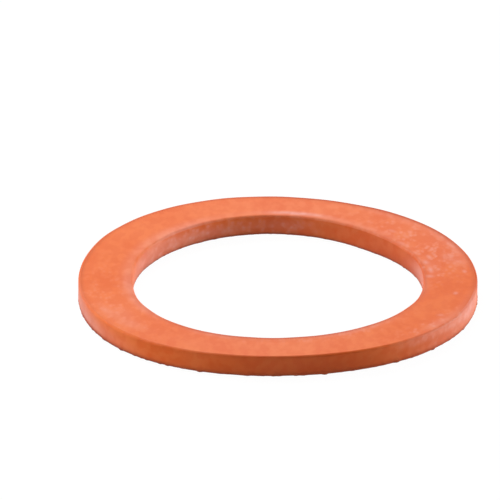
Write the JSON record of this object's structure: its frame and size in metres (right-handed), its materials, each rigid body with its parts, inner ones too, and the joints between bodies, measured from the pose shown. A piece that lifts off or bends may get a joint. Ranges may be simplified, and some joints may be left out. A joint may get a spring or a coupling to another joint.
{
  "type": "ring gasket",
  "caption": "Flat round ring gasket of soft orange silicone rubber with a plain bore and lightly rounded edges; seals the joint between pipe ends or flanges.",
  "frame": {"origin": "centre of the lower sealing face, on the axis of the bore", "axes": "+Z along the axis of the bore, out of the upper sealing face; X and Y lie in the lower sealing face, and the ring is round about Z"},
  "size_m": [0.056, 0.056, 0.003],
  "materials": {
    "silicone": "satin, faintly mottled, with pale dust in places"
  },
  "bodies": {
    "root": {"gasket_ring": "silicone"}
  },
  "joints": []
}
